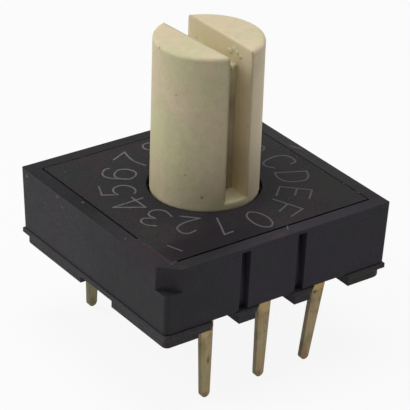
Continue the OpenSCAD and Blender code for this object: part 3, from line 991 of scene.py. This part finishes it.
@dataclass
class Case:
    """The moulded housing and the base that closes it, with the dirt that settled on them.

    Attributes:
        lean: How far the walls lean out at the top, from wall_foot up.
        corner: Radius of the solid's upright corners, of which crisp_corner is left.
        edge: Radius of its top edge, of which crisp is left.
        seam_end: Y where dirt starts to fill the plate's left seam.
    """

    housing: Material
    base: Material
    residue: Material
    dust: Material
    seed: int = 21
    lean: float = 0.08 * MM
    wall_foot: float = 0.55 * MM
    corner: float = 0.2 * MM
    crisp_corner: float = 0.08 * MM
    edge: float = 0.1 * MM
    crisp: float = 0.03 * MM
    seam_end: float = -2.25 * MM
    seam_turn: float = 0.2 * MM
    seam_width: float = 0.1 * MM
    seam_rise: float = 0.008 * MM
    seam_sink: float = 0.05 * MM
    left_flakes: tuple[Point, ...] = ((4.5, 2.88), (2.3, 2.98), (1.98, 2.7), (-3.2, 0.44))
    top_flakes: tuple[Point, ...] = ((-4.66, 1.2), (-4.86, -1.95), (-4.5, -4.35))
    specks: int = 8
    scratch: tuple[Point, ...] = ((4.7, 0.85), (4.8, 0.62), (4.94, 0.33))
    reach: Vector = field(init=False)

    def __post_init__(self) -> None:
        """Read the housing's reach."""
        self.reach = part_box("housing")[1]

    def build(self) -> None:
        """Dress both mouldings and lay the dirt on them."""
        dress(self.housing, "housing")
        dress(self.base, "base")
        self.sharpen()
        self.seam_dirt()
        self.flakes()
        self.rim_scratch()

    def shift(self, at: Vector) -> Vector:
        """How far a corner of the housing's mesh goes to lean its wall and crisp its edges.

        Args:
            at: Where it is.

        Returns:
            The way that it goes.
        """
        high = self.reach
        sides = Vector((abs(at.x) - high.x, abs(at.y) - high.y))
        inner = sides + Vector((self.corner, self.corner))
        if min(inner) > 0:
            away = inner.normalized()
            inset = self.corner - inner.length
        else:
            away = Vector((1.0, 0.0)) if sides.x > sides.y else Vector((0.0, 1.0))
            inset = -max(sides)
        if inset > 1.05 * self.edge:  # further in than the rounded edge
            return Vector((0.0, 0.0, 0.0))
        rise = max(at.z - self.wall_foot, 0.0) / (high.z - self.wall_foot)
        out = Vector((min(1.0, 1.4 * part) for part in away)) * self.lean * rise
        if min(inner) > 0 and (at.x > 0 or at.y > 0):
            out += (Vector((1.0, 1.0)) - away) * (self.corner - self.crisp_corner)
        up = 0.0
        above = at.z - high.z + self.edge
        if above > 0:
            out += away * (self.edge - self.crisp) * inset / self.edge
            up = (self.edge - self.crisp) * (1.0 - min(above / self.edge, 1.0))
        return Vector((math.copysign(out.x, at.x), math.copysign(out.y, at.y), up))

    def sharpen(self) -> None:
        """Lean the housing's walls out a little and crisp its corners, which the solid has rounder."""
        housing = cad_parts["housing"]
        shifts = [self.shift(vertex.co) for vertex in housing.data.vertices]
        for i, axis in enumerate(Axis):
            for way in (1.0, -1.0):
                most = max(shift[i] * way for shift in shifts)
                if most <= 0:
                    continue
                group = housing.vertex_groups.new(name=f"crisp_{axis.value}_{way:+.0f}")
                for index, shift in enumerate(shifts):
                    if shift[i] * way > 0:
                        group.add([index], shift[i] * way / most, "REPLACE")
                move = housing.modifiers.new(group.name, "DISPLACE")
                move.direction = axis.value
                move.mid_level = 0.0
                move.strength = way * most
                move.vertex_group = group.name

    def seam_dirt(self) -> Object:
        """Fill the plate's seam at the near left corner, where dirt has bridged it.

        Returns:
            The piece.
        """
        chance = random.Random(self.seed)
        low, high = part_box("top_plate")
        x, y = low.x - self.seam_width * 0.35, low.y - self.seam_width * 0.35
        side, front = 44, 6
        run = [Vector((x, self.seam_end + (y - self.seam_end) * k / side)) for k in range(side)]
        run += [Vector((x + self.seam_turn * k / front, y)) for k in range(front + 1)]
        points = [at + Vector((chance.uniform(-1, 1), chance.uniform(-1, 1))) * 0.006 * MM for at in run]
        shares = [chance.uniform(0.85, 1.3) for _ in points]
        shape = bmesh.new()
        pen = Pen(high.z, self.seam_width * 1.5, self.seam_rise, self.seam_sink)
        pen.line(shape, points, shares=shares)
        return piece("seam_dirt", shape, self.residue, Body.CASE)

    def flakes(self) -> Object:
        """Scatter pale flakes over the left side and the top, and specks by the plate's right edge.

        Returns:
            The piece.
        """
        chance = random.Random(self.seed + 1)
        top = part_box("top_plate")[1].z
        shape = bmesh.new()
        for y, z in self.left_flakes:
            half = chance.uniform(0.03, 0.05) * MM
            at = Vector((-self.reach.x, y * MM, z * MM))
            lump(shape, at + self.shift(at), Vector((0.012 * MM, half * 1.5, half)), chance)
        for x, y in self.top_flakes:
            half = chance.uniform(0.025, 0.045) * MM
            lump(shape, Vector((x * MM, y * MM, top)), Vector((half, half * 1.3, 0.01 * MM)), chance)
        for _ in range(self.specks):
            y = chance.uniform(-4.0, 1.4)
            half = chance.uniform(0.01, 0.022) * MM
            at = Vector((4.36 * MM - 0.05 * y * MM, y * MM, top))
            lump(shape, at, Vector((half, half * 1.6, 0.008 * MM)), chance)
        return piece("dust_flakes", shape, self.dust, Body.CASE)

    def rim_scratch(self) -> Object:
        """Leave the short scratch on the rim at the right.

        Returns:
            The piece.
        """
        shape = bmesh.new()
        points = [Vector(point) * MM for point in self.scratch]
        Pen(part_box("top_plate")[1].z, 0.08 * MM).line(shape, points, shares=(0.4, 1.0, 0.6))
        return piece("rim_scratch", shape, self.dust, Body.CASE)


@dataclass
class Turner:
    """The slotted shaft with its detent wheel, code disc and seal."""

    resin: Material
    burr: Material
    disc: Material
    rubber: Material
    seed: int = 7
    burr_shape: Place = (0.32, 1.2, 0.95)
    burrs: tuple[tuple[Place, float], ...] = (
        ((0.5, -0.6, 8.75), 0.13),
        ((0.5, -0.87, 8.9), 0.12),
        ((0.5, -1.06, 8.87), 0.1),
        ((0.5, -1.27, 8.79), 0.11),
        ((0.27, -1.06, 8.36), 0.14),
        ((0.42, -1.05, 8.36), 0.08),
    )

    def build(self) -> None:
        """Dress the turning parts and add the burr that the slot's cutter left."""
        dress(self.resin, "rotor")
        dress(self.disc, "code_disc")
        dress(self.rubber, "o_ring")
        self.slot_burr()

    def slot_burr(self) -> Object:
        """Leave ragged lumps where the slot's cutter broke out into the keyway.

        Returns:
            The piece.
        """
        chance = random.Random(self.seed)
        shape = bmesh.new()
        for at, size in self.burrs:
            lump(shape, Vector(at) * MM, Vector(self.burr_shape) * size * MM, chance)
        return piece("slot_burr", shape, self.burr, Body.DIAL, Slot.SHAFT)


@dataclass
class Metalwork:
    """The six leads with their contact springs, and the two leaf springs that hold each step."""

    front: Material
    rear: Material
    steel: Material

    def build(self) -> None:
        """Dress every lead and spring."""
        dress(self.front, "terminal_1", "terminal_2", "terminal_c_front")
        # The rear leads take the darker copy of the plating, which is painted shade.
        dress(self.rear, "terminal_4", "terminal_8", "terminal_c_rear")
        dress(self.steel, "detent_spring_rear", "detent_spring_front")


@dataclass
class Studio:
    """Pale floor, soft light and the camera.

    Attributes:
        aim: What the camera looks at.
        ambient: Strength of the light all round.
        lamps: Each lamp's name, the way to it, its power in watts and its colour.
    """

    floor: Material
    azimuth: float = -36.37
    elevation: float = 28.28
    roll: float = 1.977
    distance: float = 83.14 * MM
    aim: tuple[float, float, float] = (-0.139 * MM, -0.288 * MM, 2.408 * MM)
    lens: float = 193.35
    sensor: float = 36.0
    clip: Span = (1 * MM, 2.0)
    floor_half: float = 0.6
    ambient: float = 0.15
    lamp_size: float = 60 * MM
    lamp_reach_mm: float = 100.0
    lamps: tuple[tuple[str, Place, float, Colour], ...] = (
        ("overhead", (0.0, 0.0, 1.0), 0.0455, (1.0, 1.0, 1.0)),
        ("key", (-0.7, 0.2, 0.7), 0.0235, (0.99, 1.0, 0.97)),
        ("back", (-0.6, 0.7, 0.5), 0.032, (0.99, 1.0, 0.97)),
        ("side", (1.0, -0.1, 0.5), 0.022, (1.0, 0.965, 0.98)),
        ("front", (0.6, -0.75, 0.4), 0.0035, (1.0, 0.965, 0.98)),
        ("near", (-0.85, -0.55, 0.3), 0.0045, (1.0, 0.99, 0.95)),
    )

    def build(self) -> None:
        """Set up the whole studio."""
        self.camera()
        self.ground()
        self.world()
        for lamp in self.lamps:
            self.lamp(*lamp)
        bpy.context.scene.view_settings.view_transform = "Standard"

    def camera(self) -> None:
        """Place the camera."""
        turn, rise = math.radians(self.azimuth), math.radians(self.elevation)
        back = Vector((math.sin(turn) * math.cos(rise), -math.cos(turn) * math.cos(rise), math.sin(rise)))
        right = Vector((math.cos(turn), math.sin(turn), 0.0))
        up = back.cross(right)
        tilt = Matrix.Rotation(math.radians(self.roll), 3, back)
        axes = Matrix((tilt @ right, tilt @ up, back)).transposed().to_4x4()
        data = bpy.data.cameras.new("camera")
        data.lens = self.lens
        data.sensor_width = self.sensor
        data.clip_start, data.clip_end = self.clip
        camera = bpy.data.objects.new("camera", data)
        camera.matrix_world = Matrix.Translation(Vector(self.aim) + back * self.distance) @ axes
        bpy.context.scene.collection.objects.link(camera)
        bpy.context.scene.camera = camera

    def ground(self) -> None:
        """Lay the floor under the leads' tips."""
        shape = bmesh.new()
        bmesh.ops.create_grid(shape, x_segments=8, y_segments=8, size=self.floor_half)
        for vertex in shape.verts:
            vertex.co.z = CAD_BOX[0].z
        mesh = bpy.data.meshes.new("floor")
        shape.to_mesh(mesh)
        shape.free()
        mesh.materials.append(self.floor)
        floor = bpy.data.objects.new("floor", mesh)
        bpy.context.scene.collection.objects.link(floor)

    def world(self) -> None:
        """Light all round, white where it is seen."""
        world = bpy.data.worlds.new("studio")
        bpy.context.scene.world = world
        bench = Bench(world)
        level = bench.node("MapRange", inputs={"Value": bench.seen(), "To Min": self.ambient})
        bench.surface(bench.node("Background", inputs={"Strength": level}))

    def lamp(self, name: str, towards: Place, power: float, colour: Colour) -> None:
        """Hang one soft lamp that looks at the part.

        Args:
            name: The lamp's name.
            towards: The way to it from the part.
            power: Its power.
            colour: Its colour.
        """
        away = Vector(towards).normalized()
        data = bpy.data.lights.new(name, "AREA")
        data.shape = "DISK"
        data.size = self.lamp_size
        data.energy = power
        data.color = colour
        lamp = bpy.data.objects.new(name, data)
        lamp.location = away * self.lamp_reach_mm * MM
        lamp.rotation_euler = away.to_track_quat("Z", "Y").to_euler()
        bpy.context.scene.collection.objects.link(lamp)


BROWN = (60, 48, 46)
HOUSING = BlackMoulding(
    "housing_moulding",
    shade(55, 53, 57),
    shade(60, 53, 61),
    shade(50, 56, 54),
    # Painted shade on the housing's upward faces.
    upward=(0.42, 0.39, 0.42),
    near_dark=0.5,
    seam=0.055 * MM,
    blotches=(
        # Painted tint of the light on the front face.
        Blotch((0.8, -4.85, 1.3), 6.0, (55, 51, 59), 0.6, (1, 5, 1)),
        Blotch((-5.0, -2.6, 1.2), 4.2, (45, 45, 47), 0.7),
        # Painted light in the front grooves, lifting their shade.
        Blotch((0.0, -4.42, 1.3), 2.4, (88, 85, 96), 0.85, (0.6, 12, 1.4)),
        Blotch((4.9, -0.5, 3.14), 5.0, (50, 48, 48), 0.8, (5, 1, 3)),
        Blotch((-4.7, -3.0, 3.1), 1.3, (50, 40, 50), 0.5, (1, 0.6, 1)),
        Blotch((0.05, -4.75, 3.1), 0.3, BROWN, 0.6, (0.6, 1, 1.3)),
        Blotch((-4.3, -4.8, 3.0), 0.35, BROWN, 0.4),
    ),
)
BASE = BlackMoulding(
    "base_moulding",
    shade(58, 56, 60),
    shade(62, 57, 58),
    shade(55, 57, 58),
    dusty=0.1,
    blotches=(
        Blotch((-5.0, -3.2, 0.4), 0.3, BROWN, 0.6),
        Blotch((4.0, -4.8, 0.4), 0.8, (58, 60, 52), 0.5),
    ),
)
PLATE = BlackMoulding(
    "plate_moulding",
    shade(45, 43, 45),
    shade(53, 43, 49),
    shade(42, 47, 45),
    roughness=0.72,
    specular=0.08,
    dusty=0.2,
    seam=0.055 * MM,
    blotches=(
        Blotch((3.8, -2.4, 3.14), 2.2, (50, 50, 48), 0.5),
        Blotch((-2.0, -4.4, 3.14), 2.8, (26, 21, 26), 0.75, (0.8, 1, 1)),
        Blotch((-3.9, -1.9, 3.14), 0.5, BROWN, 0.35),
    ),
)
CORNER_DIRT = Grit("corner_dirt", shade(62, 50, 52), shade(44, 36, 40))
PALE_DUST = Grit("pale_dust", shade(112, 110, 106), shade(76, 74, 72))
SHAFT = ShaftResin(
    "shaft_resin",
    blotches=(
        Blotch((0.5, 1.47, 8.49), 0.07, (90, 72, 48), 0.85),
        Blotch((-2.06, 0.21, 9.16), 0.07, (130, 112, 84), 0.7),
        Blotch((-1.28, -1.63, 3.66), 0.08, (120, 100, 72), 0.7),
        Blotch((0.5, -1.9, 6.2), 0.06, (110, 90, 62), 0.7),
        Blotch((-1.73, -1.15, 4.5), 0.06, (140, 124, 92), 0.6),
        Blotch((-1.94, -0.74, 7.64), 0.06, (140, 124, 92), 0.6),
        Blotch((0.5, -0.8, 8.7), 0.1, (140, 122, 82), 0.75),
        Blotch((0.5, -0.9, 8.85), 0.34, (226, 214, 176), 0.45, (1, 1, 1.4)),
        # Painted light on the slot's wall that faces the lamps.
        Blotch((0.5, 0.0, 8.8), 2.4, (214, 200, 164), 0.6, (12, 1, 1)),
        Blotch((1.3, -1.7, 6.2), 2.6, (224, 208, 180), 0.6, (1.6, 1.6, 0.6)),
        Blotch((-1.9, 0.7, 5.6), 1.6, (206, 200, 158), 0.5),
        Blotch((0.6, -1.8, 4.4), 1.3, (200, 184, 156), 0.4),
    ),
)
BURR = ShaftResin("burr_resin", body=shade(212, 200, 164), soft_edge=0.02 * MM)
DISC = PlatedMetal(
    "disc_plating",
    shade(226, 190, 104),
    shade(205, 166, 84),
    shade(150, 118, 62),
    roughness=0.3,
    metallic=1.0,
    stained=0.3,
)
LEADS = PlatedMetal(
    "lead_plating",
    shade(176, 157, 122),
    shade(154, 135, 102),
    shade(90, 74, 50),
    roughness=0.5,
    metallic=0.35,
    stained=0.3,
    spots=0.08,
    root=shade(178, 150, 98),
    shaded=0.7,
    blotches=(
        Blotch((-2.73, -3.91, -1.2), 0.3, (128, 122, 70), 0.7, (1, 1, 0.7)),
        Blotch((-2.42, -3.91, -1.8), 0.09, (96, 80, 50), 0.8, (1, 1, 0.4)),
        Blotch((-2.55, -3.9, -0.6), 0.3, (198, 172, 116), 0.7, (1, 1, 1.6)),
        Blotch((2.6, -3.9, -0.15), 0.4, (200, 170, 96), 0.8),
        Blotch((2.5, -3.91, -0.42), 0.09, (84, 66, 40), 0.8, (0.6, 1, 1)),
        Blotch((0.17, -3.91, -0.3), 0.35, (196, 168, 110), 0.6),
        Blotch((2.14, -3.9, -3.15), 0.35, (140, 104, 76), 0.75),
        Blotch((2.3, -3.9, -2.4), 0.28, (128, 122, 76), 0.55),
        Blotch((-0.09, -3.9, -3.2), 0.22, (96, 80, 54), 0.6),
        Blotch((-2.54, -3.9, -3.32), 0.22, (96, 80, 54), 0.6),
    ),
)
# Painted shade: the rear leads stand in shade, so they take a darker copy of the lead plating.
SHADED_REAR_LEADS = replace(LEADS, name="shaded_rear_lead_plating", bright=shade(150, 140, 112), dull=shade(132, 122, 96))
SPRING = PlatedMetal(
    "spring_steel",
    shade(196, 198, 200),
    shade(170, 172, 174),
    shade(120, 116, 110),
    roughness=0.28,
    metallic=1.0,
    stained=0.2,
)


def main() -> None:
    """Build the whole scene in order."""
    logging.basicConfig(level=logging.INFO, format="%(message)s")
    Studio(PaleFloor("studio_floor").make()).build()
    Case(HOUSING.make(), BASE.make(), CORNER_DIRT.make(), PALE_DUST.make()).build()
    Dial(PLATE.make(), DialInk("dial_ink").make()).build()
    Turner(SHAFT.make(), BURR.make(), DISC.make(), SealRubber("seal_rubber").make()).build()
    Metalwork(LEADS.make(), SHADED_REAR_LEADS.make(), SPRING.make()).build()
    LOG.info("all pieces are in place")


if __name__ == "__main__":
    main()
